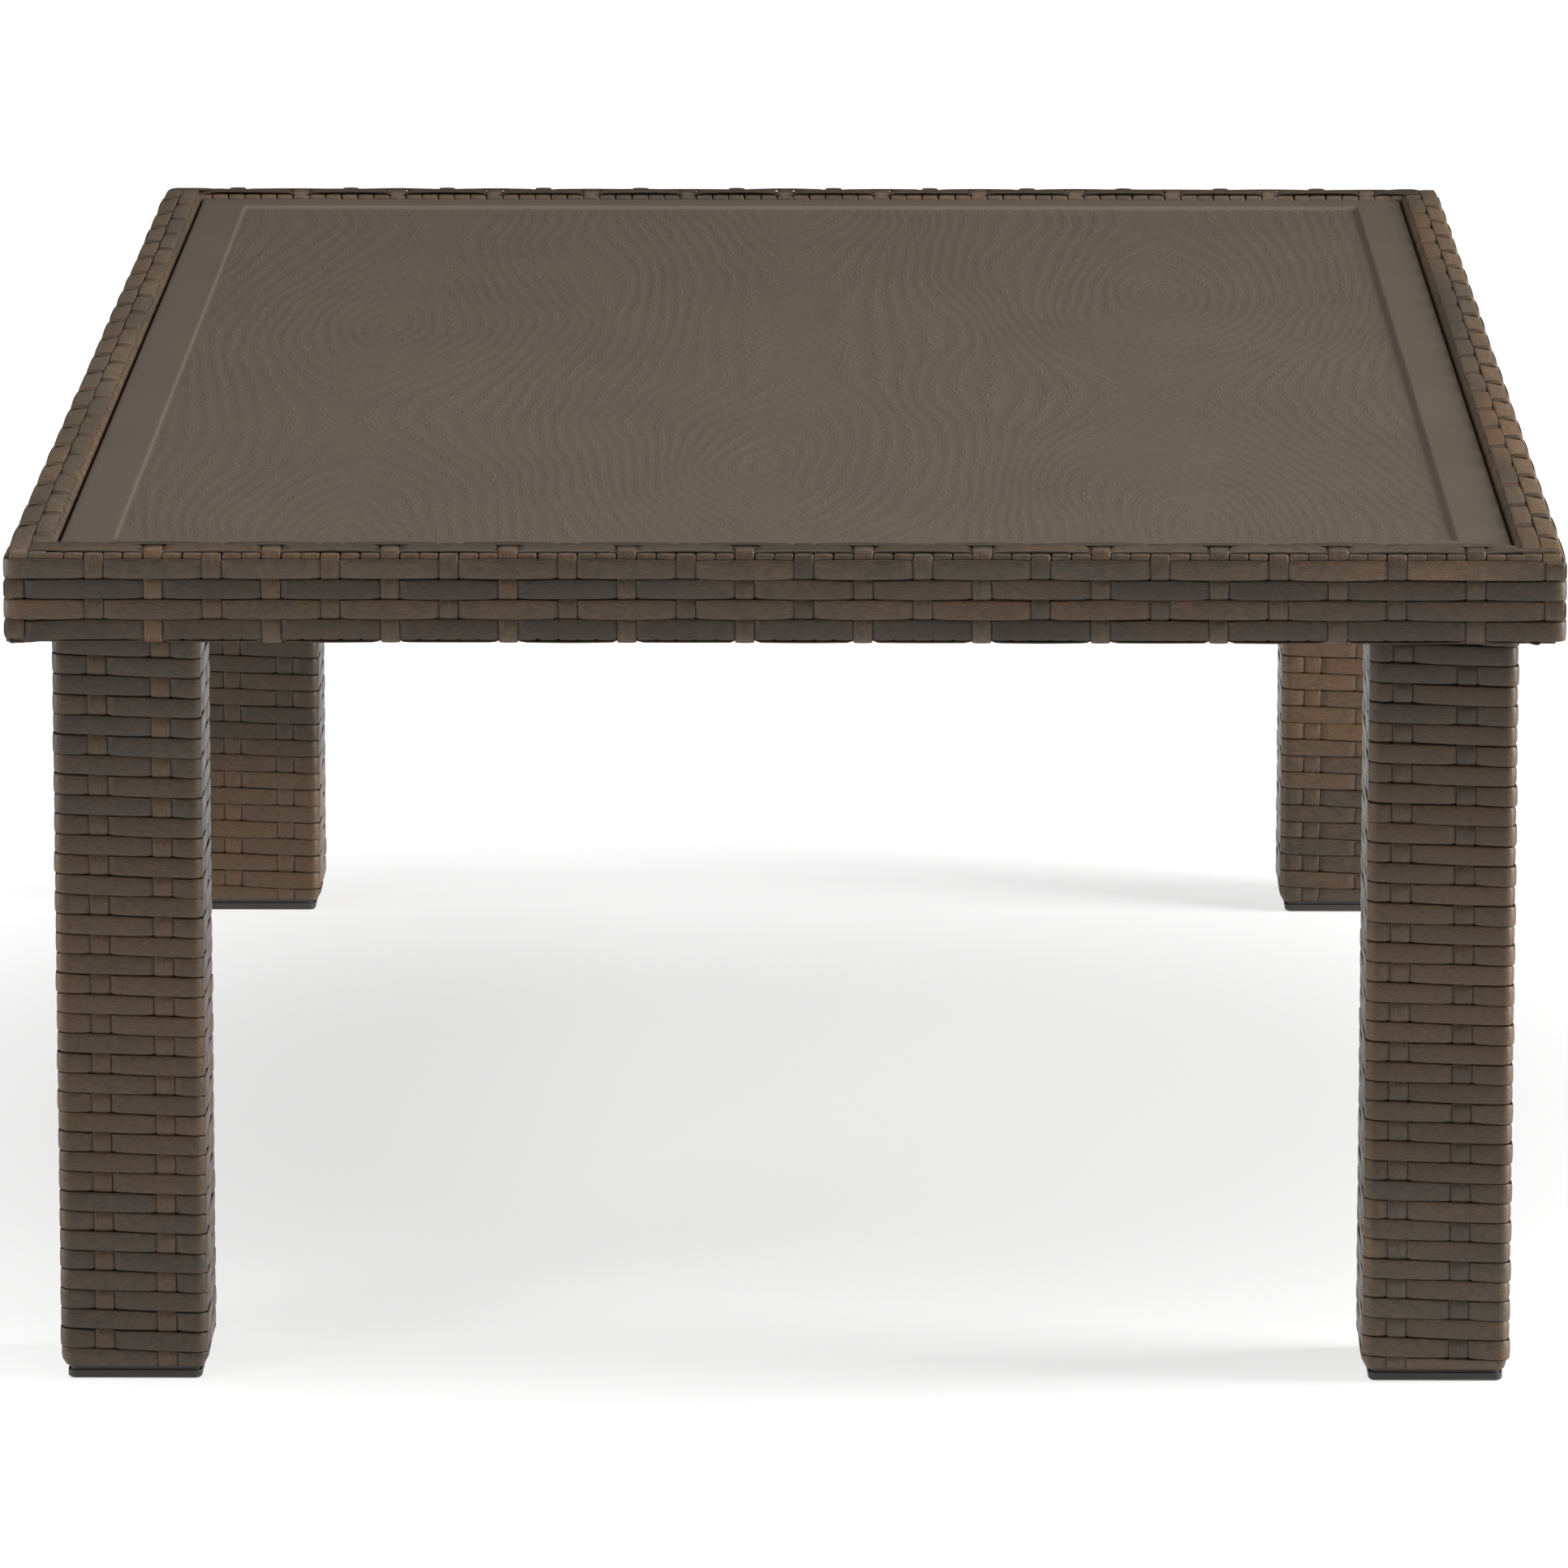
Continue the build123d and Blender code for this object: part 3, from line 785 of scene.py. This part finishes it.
def make_top_strands(side, rng):
    """The two weavers on the rim's top face, which cross the neighbouring sides' at the corners."""
    weave = Weave()
    place = side_place(side)
    length = side["length"]
    path = top_strand_outline(length)
    flat = path.starts[2] - (RAIL_OUT + RAIL_RADIUS)
    pitch = stake_pitch(side)
    sets = stake_sets(side)
    p = path.samples(0.0, path.starts[-1], RUN_STEP, 0.6)
    turn_start = 0.5 * (path.starts[1] + path.starts[2])
    turn_end = 0.5 * (path.starts[3] + path.starts[4])
    last = flat + length
    for which, centre, level, tilt in (("T1", T1_CENTRE, 2.35, 0.17), ("T2", T2_CENTRE, 2.85, -0.04)):
        lows = [flat + FIRST_STAKE + i * pitch for i in sorted(sets[TOP_SETS[which]])]
        lows = [x for x in lows if flat + CORNER < x < last - CORNER]
        height, nearest = float_heights(p, lows, rng, level, LOW, BOW + 0.1)
        # At its start a strand goes under the T1 of the side before, and over its T2. At its end T1
        # goes over both strands of the side after, and T2 under both.
        ending = CROSS_OVER if which == "T1" else CROSS_UNDER
        start_keys = [(0.0, 0.9), (path.starts[1], 1.3), (turn_start, EDGE),
                      (flat + T1_CENTRE, CROSS_UNDER), (flat + T2_CENTRE - 1.5, CROSS_OVER),
                      (flat + T2_CENTRE + 3.0, CROSS_OVER), (flat + CROSS_END, level)]
        end_keys = [(last - CROSS_END, level), (last - T2_CENTRE - 3.0, ending),
                    (last - T2_CENTRE + 1.5, ending), (last - T1_CENTRE, ending),
                    (turn_end, EDGE), (path.starts[4], 1.3), (path.starts[5], 0.9)]
        mask = p < flat + CROSS_END
        height[mask] = through_keys(p[mask], start_keys)
        mask = p > last - CROSS_END
        height[mask] = through_keys(p[mask], end_keys)
        middle = smooth((p - flat - CORNER) / 12.0) * smooth((last - CORNER - p) / 12.0)
        roll = middle * tilt * smooth((nearest - 3.0) / 5.0) + drift(rng, p, 60.0, 0.02)
        # brightness includes painted light on the left and right sides' tops
        warm, light = TOP_TONES_AND_PAINTED_LIGHT[side["name"]]
        if which == "T2":
            warm, light = warm - 0.15, light * 0.96
        if side["name"] == "front":
            light = light + 0.40 * smooth(p / length)

        def wrap(a, b, h):
            sz = path.offset(a, h)
            return place(sz[..., 0], b, sz[..., 1])

        across = centre + drift(rng, p, 80.0, 0.12)
        weave.strand(wrap, p, across, height, TOP_STRAND_WIDTH, rng.uniform(0, 100),
                     warm + drift(rng, p, 100.0, 0.24), light * (1.0 + drift(rng, p, 80.0, 0.08)), roll=roll)
    return weave.piece("rim_top_strands_" + side["name"], strand_look)


def make_bottom_strands(side, rng):
    """The two weavers under the rim; the long sides' stop short, between the others and the rail."""
    weave = Weave()
    place = side_place(side)
    length = side["length"]
    long_side = side["name"] in ("left", "right")
    end, crossing = BOTTOM_LONG if long_side else BOTTOM_SHORT
    pitch = stake_pitch(side)
    sets = stake_sets(side)
    for kind, centre in (("A", T1_CENTRE), ("B", T2_CENTRE)):
        p = np.arange(end, length - end + 0.1, 3.0)
        lows = [FIRST_STAKE + i * pitch for i in sorted(sets[kind])]
        height, _ = float_heights(p, lows, rng, 2.6, LOW, 0.3)
        corner = np.minimum(p, length - p)
        height = crossing + (height - crossing) * smooth((corner - CORNER) / 8.0)

        def wrap(a, b, h):
            return place(a, b, RAIL_BOTTOM - h)

        across = centre + drift(rng, p, 80.0, 0.12)
        weave.strand(wrap, p, across, height, TOP_STRAND_WIDTH, rng.uniform(0, 100),
                     0.4 + drift(rng, p, 100.0, 0.25), 0.9 + drift(rng, p, 80.0, 0.07), flip=True)
    return weave.piece("rim_bottom_strands_" + side["name"], strand_look)


# ---------------------------------------------------------------- woven legs
LEG_PITCH = 10.0
LEG_ROW_WIDTH = 9.7
LEG_STAKES = 27
LEG_FACE = 70.0  # of the square on which the stakes are spaced
LEG_RADIUS = 2.5
LEG_STAKE_WIDTH = 9.6
FOOT_TAPER_TOP = 12.0
FOOT_TAPER = 2.3
TONE_HEIGHTS = (1.0, 0.78, 0.56, 0.34, 0.12)  # shares of the skin's top
# For each leg: place of one stake that shows, from the middle of the front face; how far the rows are
# lifted; then share of brown and brightness at five heights from the top down. The brightness is partly the
# strands' own tone and partly painted light and shade, read off per leg and height.
LEGS = {
    "front_left": (-14.5, 0.7, ((0.32, 0.80), (0.50, 0.80), (1.00, 0.80), (0.80, 0.80), (0.35, 0.91))),
    "front_right": (-20.0, 7.6, ((0.50, 0.55), (1.00, 0.67), (1.15, 0.78), (0.78, 0.75), (0.32, 1.20))),
    "rear_left": (-15.0, 0.0, ((0.30, 0.75), (0.30, 0.70), (0.35, 0.66), (0.45, 0.70), (0.95, 1.08))),
    "rear_right": (13.0, 0.0, ((0.90, 1.16), (0.90, 1.12), (0.90, 1.14), (0.85, 1.14), (0.40, 0.95))),
}


def leg_outline(centre, half):
    """Plan of a leg tube's outside, walked anticlockwise from the middle of its front face."""
    cx, cy, r = centre[0], centre[1], LEG_RADIUS
    line, arc = Outline.line, Outline.arc
    return Outline(
        [
            line(cx, cy - half, cx + half - r, cy - half, 0, -1),
            arc(cx + half - r, cy - half + r, r, -90, 0),
            line(cx + half, cy - half + r, cx + half, cy + half - r, 1, 0),
            arc(cx + half - r, cy + half - r, r, 0, 90),
            line(cx + half - r, cy + half, cx - half + r, cy + half, 0, 1),
            arc(cx - half + r, cy + half - r, r, 90, 180),
            line(cx - half, cy + half - r, cx - half, cy - half + r, -1, 0),
            arc(cx - half + r, cy - half + r, r, 180, 270),
            line(cx - half + r, cy - half, cx, cy - half, 0, -1),
        ]
    )


def leg_maps(outline, half):
    """Turns distance on the stake square to distance on the tube's outline, and the other way."""
    flat, bend = half - LEG_RADIUS, LEG_FACE / 2 - (half - LEG_RADIUS)
    square = [0.0]
    for i in range(4):
        square += [i * LEG_FACE + flat, i * LEG_FACE + flat + 2 * bend]
    square += [4 * LEG_FACE]
    return np.array(square), outline.starts


def make_leg(name, rng):
    """One leg's skin: upright stakes, and a single weaver wound down them."""
    tube_low, tube_high = box_mm("leg_tube_" + name)
    skin_low, skin_high = box_mm("leg_weave_" + name)
    half = 0.5 * (tube_high[0] - tube_low[0])
    centre = 0.5 * (tube_high[:2] + tube_low[:2])
    top, bottom = skin_high[2], skin_low[2]
    outline = leg_outline(centre, half)
    square, along = leg_maps(outline, half)
    perimeter = outline.starts[-1]
    # the brightness keys carry painted light and shade as well as the strands' own tone
    first, lift, tones_and_painted_light = LEGS[name]
    step = 4 * LEG_FACE / LEG_STAKES
    tone_heights = [share * top for share in TONE_HEIGHTS]
    warm_keys = [(z, t[0]) for z, t in zip(tone_heights, tones_and_painted_light)] + [(0.0, tones_and_painted_light[-1][0])]
    light_keys = [(z, t[1]) for z, t in zip(tone_heights, tones_and_painted_light)] + [(0.0, tones_and_painted_light[-1][1])]

    def taper(z):
        return FOOT_TAPER * smooth((FOOT_TAPER_TOP - z) / (FOOT_TAPER_TOP - bottom))

    def wrap(p, z, h):
        xy = outline.offset(np.mod(p, perimeter), h - taper(z) * smooth(h / 2.0))
        return np.concatenate([xy, z[..., None]], -1)

    def wrap_stake(z, p, h):
        return wrap(p, z, h)

    def row_height(q):
        """Middle of the winding weaver, q along the stake square."""
        return top + lift + 0.5 * LEG_PITCH - LEG_PITCH * q / (4 * LEG_FACE)

    rows = Weave()
    turns = (top + lift - bottom) / LEG_PITCH + 1.0
    flats = outline.samples(0.0, perimeter, 2.7, 0.75)[:-1]
    windings = range(int(math.ceil(turns)))
    p = np.concatenate([flats + k * perimeter for k in windings])
    q = np.concatenate([np.interp(flats, along, square) + k * 4 * LEG_FACE for k in windings])
    z = row_height(q)
    lows = first + 2 * 3 * step * np.arange(-1, int(turns * LEG_STAKES / 6) + 2)
    height, nearest = float_heights(q, lows, rng, FLOAT, LOW, 0.55)
    z = z + drift(rng, q, 60.0, 0.12)
    width = LEG_ROW_WIDTH + 0.25 - 0.6 * (1 - smooth((nearest - 2.0) / 14.0)) + drift(rng, q, 90.0, 0.10)
    upper = np.minimum(z + width / 2, top - 0.1)
    lower = np.maximum(z - width / 2, bottom + 0.1)
    keep = upper - lower > 2.0
    warm = through_keys(z, warm_keys) + drift(rng, q, 90.0, 0.16)
    light = through_keys(z, light_keys) * (1.0 + drift(rng, q, 75.0, 0.06))
    # painted highlight on the weaver at the leg's corners
    light = light * painted_bend_highlight(np.mod(q, LEG_FACE) - LEG_FACE / 2, 0.55)
    rows.strand(wrap, p[keep], 0.5 * (upper + lower)[keep], height[keep], (upper - lower)[keep],
                rng.uniform(0, 100), warm[keep], light[keep], roll=drift(rng, q, 70.0, 0.02)[keep])
    row_piece = rows.piece("leg_rows_" + name, strand_look)

    stakes = Weave()
    for i in range(LEG_STAKES):
        place = first + i * step
        over = i % 3 == 0
        zs = np.arange(bottom + 0.3, top - 0.05, 2.2)[::-1]
        level = np.full(len(zs), LOW)
        if over:
            for m in range(-2, int(turns) + 3):
                if (i // 3 + m) % 2:
                    continue
                cumulative = place + m * 4 * LEG_FACE
                gap = np.abs(zs - row_height(cumulative))
                over_row = 1 - smooth((gap - BUMP_FLAT) / (LEG_BUMP_END - BUMP_FLAT))
                level = np.maximum(level, LOW + (BUMP - LOW) * over_row)
        around = np.interp(np.mod(place, 4 * LEG_FACE), square, along)
        wobble = rng.normal(0, 0.15) + drift(rng, zs, 60.0, 0.15)
        stake_warm = through_keys(zs, warm_keys) + rng.normal(0.12, 0.22) + drift(rng, zs, 80.0, 0.10)
        stake_light = through_keys(zs, light_keys) * (1.0 + rng.normal(0.02, 0.09))
        stakes.strand(wrap_stake, zs, around + wobble, level, LEG_STAKE_WIDTH, rng.uniform(0, 100),
                      stake_warm, stake_light)
    stake_piece = stakes.piece("leg_stakes_" + name, strand_look)
    return row_piece, stake_piece


# ---------------------------------------------------------------- pressed top
BORDER_WIDTH = 26.0
BEVEL_WIDTH = 0.9
FIELD_DEPTH = 2.0
SHEET = 1.0
EDGE_RADIUS = 1.6
GRAIN_DEPTH = 0.10
GRAIN_PITCH = 7.0
GRAIN_REACH = 62.0  # radius of the rings halfway between two centres
GRAIN_ROUND = 6.8  # rounds the rings' middles
FIELD_GRID = (370, 196)
# Columns of the embossed grain, with ring centres where the phase is whole: knots of (share of the
# table from the back, ring phase, share of the table from the left).
GRAIN_COLUMNS = (
    (
        (-0.16, -1.0, 0.210),
        (0.12, -0.5, 0.215),
        (0.404, 0.0, 0.211),
        (0.654, 0.5, 0.200),
        (0.95, 1.0, 0.221),
        (1.25, 1.5, 0.221),
    ),
    (
        (-0.25, -0.2, 0.492),
        (0.02, 0.0, 0.493),
        (0.50, 0.5, 0.507),
        (0.782, 1.0, 0.498),
        (1.06, 1.5, 0.498),
    ),
    (
        (-0.25, -1.0, 0.770),
        (0.04, -0.5, 0.768),
        (0.318, 0.0, 0.764),
        (0.593, 0.5, 0.750),
        (0.914, 1.0, 0.768),
        (1.2, 1.5, 0.768),
    ),
)


def value_noise(rng, x, y, step_x, step_y, spread):
    """Smooth random field on a grid, about zero."""
    nx, ny = int(np.ptp(x) / step_x) + 4, int(np.ptp(y) / step_y) + 4
    grid = rng.normal(0.0, spread, (nx, ny))
    fx, fy = (x - x.min()) / step_x, (y - y.min()) / step_y
    i, j = fx.astype(int), fy.astype(int)
    tx, ty = smooth(fx - i), smooth(fy - j)
    low = grid[i, j] * (1 - tx) + grid[i + 1, j] * tx
    high = grid[i, j + 1] * (1 - tx) + grid[i + 1, j + 1] * tx
    return low * (1 - ty) + high * ty


def grain_phase(rng, x, y):
    """Ring number of the embossed grain at each point: closed rings about centres in three columns."""
    width, depth = 2 * RIM_HALF[0], 2 * RIM_HALF[1]
    back = 0.5 - y / depth
    wobble = value_noise(rng, x, y, 26.0, 70.0, 2.2) + value_noise(rng, x, y, 60.0, 220.0, 7.0)
    rings, centres = [], []
    for knots in GRAIN_COLUMNS:
        places = [k[0] for k in knots]
        turn = np.interp(back, places, [k[1] for k in knots])
        cx = (np.interp(back, places, [k[2] for k in knots]) - 0.5) * width
        reach = GRAIN_REACH * np.sin(math.pi * turn)
        r = np.sqrt((x + wobble - cx) ** 2 + reach**2)
        rings.append((np.sqrt(1 + (r / GRAIN_ROUND) ** 2) - 1) * GRAIN_ROUND / GRAIN_PITCH)
        centres.append(cx)
    first = (centres[1] - centres[0]) / GRAIN_PITCH
    second = first - (centres[2] - centres[1]) / GRAIN_PITCH
    phases = [rings[0], first - rings[1], second + rings[2]]
    left = smooth((x - 0.5 * (centres[0] + centres[1])) / 70.0 + 0.5)
    right = smooth((x - 0.5 * (centres[1] + centres[2])) / 70.0 + 0.5)
    phase = phases[0] * (1 - left) + phases[1] * left
    return phase * (1 - right) + phases[2] * right


def make_top(rng):
    """The pressed sheet: skirt, rolled edge, flat border, bevel and embossed field, with its underside."""
    low, high = box_mm("top_sheet")
    half_x, half_y, crown, foot = high[0], high[1], high[2], low[2]
    inner = BORDER_WIDTH + BEVEL_WIDTH
    sunk = crown - FIELD_DEPTH
    # Rings from the field outward, over the edge and back under: distance in from the edge, height.
    rings = [
        (inner - 0.02, sunk + 0.01),
        (inner - 0.25, sunk + 0.15),
        (BORDER_WIDTH + 0.15, crown - 0.15),
        (BORDER_WIDTH - 0.1, crown - 0.01),
        (BORDER_WIDTH - 1.0, crown),
        (15.0, crown),
        (4.0, crown),
    ]
    for angle in np.linspace(90, 0, 6):
        a = math.radians(angle)
        rings.append((EDGE_RADIUS * (1 - math.cos(a)), crown - EDGE_RADIUS * (1 - math.sin(a))))
    rings += [
        (0.0, foot),
        (SHEET, foot),
        (SHEET, crown - SHEET - 0.4),
        (SHEET + 0.6, crown - SHEET),
        (BORDER_WIDTH - 0.5, crown - SHEET),
        (inner, sunk - SHEET),
    ]
    field_x, field_y = half_x - inner, half_y - inner
    nx, ny = FIELD_GRID
    gx, gy = np.linspace(-field_x, field_x, nx), np.linspace(-field_y, field_y, ny)
    x, y = np.meshgrid(gx, gy, indexing="ij")
    phase = grain_phase(rng, x, y)
    strength = 0.7 + 0.5 * smooth(value_noise(rng, x, y, 60.0, 90.0, 1.0) + 0.5)
    edge = np.minimum(field_x - np.abs(x), field_y - np.abs(y))
    ridge = np.sin(2 * math.pi * phase) * strength * smooth(edge / 8.0)
    z = sunk + GRAIN_DEPTH * ridge
    points = [np.stack([x, y, z], -1).reshape(-1, 3)]
    i, j = np.meshgrid(np.arange(nx - 1), np.arange(ny - 1), indexing="ij")
    a = (i * ny + j).reshape(-1)
    quads = [np.stack([a, a + ny, a + ny + 1, a + 1], -1)]
    grain = [phase.reshape(-1)]
    inside = [np.ones(nx * ny)]
    # The field's rim, anticlockwise, which the border's rings follow.
    loop = np.concatenate([
        np.arange(nx) * ny,
        (nx - 1) * ny + np.arange(1, ny),
        np.arange(nx - 2, -1, -1) * ny + ny - 1,
        np.arange(ny - 2, 0, -1),
    ])
    base = points[0][loop]
    sign = np.stack([np.sign(base[:, 0]) * (np.abs(base[:, 0]) > field_x - 1e-6),
                     np.sign(base[:, 1]) * (np.abs(base[:, 1]) > field_y - 1e-6)], -1)
    count, size = nx * ny, len(loop)
    previous = loop
    for distance, height in rings:
        ring_points = base.copy()
        ring_points[:, :2] += sign * (inner - distance)
        ring_points[:, 2] = height
        points.append(ring_points)
        now = count + np.arange(size)
        quads.append(np.stack([previous, now, np.roll(now, -1), np.roll(previous, -1)], -1))
        grain.append(phase.reshape(-1)[loop])
        inside.append(np.zeros(size))
        count += size
        previous = now
    # Flat underside, in strips from the front edge to the rear.
    near = previous[:nx]
    far = previous[nx + ny - 2: 2 * nx + ny - 2][::-1]
    quads.append(np.stack([near[:-1], far[:-1], far[1:], near[1:]], -1))
    mesh = mesh_from("top_sheet_pressed", np.concatenate(points), np.concatenate(quads))
    for name, value in (("grain", grain), ("field", inside)):
        layer = mesh.attributes.new(name, "FLOAT", "POINT")
        layer.data.foreach_set("value", np.concatenate(value).astype(np.float32))
    return piece_from("top_sheet_pressed", mesh, top_look)


# ---------------------------------------------------------------- pieces
rim_nodes = ["rim_weave_" + side["name"] for side in SIDES]
rows = make_rim_rows(np.random.default_rng(11))
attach(rows, "frame")
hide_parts(*rim_nodes)
for index, side in enumerate(SIDES):
    rng = np.random.default_rng(20 + index)
    for piece in (make_rim_stakes(side, rng), make_top_strands(side, rng), make_bottom_strands(side, rng)):
        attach(piece, "frame")
        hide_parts("rim_weave_" + side["name"])
for index, name in enumerate(LEGS):
    for piece in make_leg(name, np.random.default_rng(40 + index)):
        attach(piece, "frame")
        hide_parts("leg_weave_" + name)
top = make_top(np.random.default_rng(60))
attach(top, "top")
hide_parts("top_sheet")


# ---------------------------------------------------------------- floor, light and camera
def make_floor():
    size = 40.0
    points = np.array([(-size, -size, 0), (size, -size, 0), (size, size, 0), (-size, size, 0)]) / MM
    floor = piece_from("floor", mesh_from("floor", points, np.array([[0, 1, 2, 3]])), floor_material())
    floor.location.z = -0.0002


def make_softbox(name, place, target, size, power):
    data = bpy.data.lights.new(name, "AREA")
    data.shape = "RECTANGLE"
    data.size, data.size_y = size
    data.energy = power
    lamp = bpy.data.objects.new(name, data)
    bpy.context.scene.collection.objects.link(lamp)
    lamp.location = place
    aim = np.array(target) - np.array(place)
    lamp.rotation_euler = (
        math.atan2(math.hypot(aim[0], aim[1]), -aim[2]),
        0.0,
        math.atan2(aim[1], aim[0]) - math.pi / 2,
    )


def make_world(strength):
    world = bpy.data.worlds.new("studio")
    bpy.context.scene.world = world
    world.use_nodes = True
    background = world.node_tree.nodes["Background"]
    background.inputs[0].default_value = (1.0, 1.0, 1.0, 1.0)
    background.inputs[1].default_value = strength


def make_camera():
    data = bpy.data.cameras.new("camera")
    data.sensor_width = 36.0
    data.lens = 246.6
    data.clip_end = 100.0
    camera = bpy.data.objects.new("camera", data)
    bpy.context.scene.collection.objects.link(camera)
    camera.location = (0.0424, -5.7464, 1.351)
    camera.rotation_euler = (math.pi / 2 - 0.2006, 0.0, 0.0083)
    bpy.context.scene.camera = camera


make_floor()
make_world(0.09)
make_softbox("overhead", (-0.3, -0.2, 2.9), (0.0, 0.0, 0.2), (2.4, 2.4), 37.0)
make_softbox("key_right", (3.3, -0.4, 1.75), (0.0, 0.0, 0.35), (1.6, 1.6), 165.0)
make_softbox("fill_left", (-2.8, -3.0, 1.6), (0.0, 0.0, 0.25), (1.2, 1.2), 30.0)
make_softbox("edge_right", (3.0, -0.5, 0.45), (0.0, 0.0, 0.3), (0.7, 0.7), 40.0)
make_softbox("edge_left", (-3.0, -0.5, 0.45), (0.0, 0.0, 0.3), (0.7, 0.7), 22.0)
make_camera()
bpy.context.scene.view_settings.view_transform = "Standard"
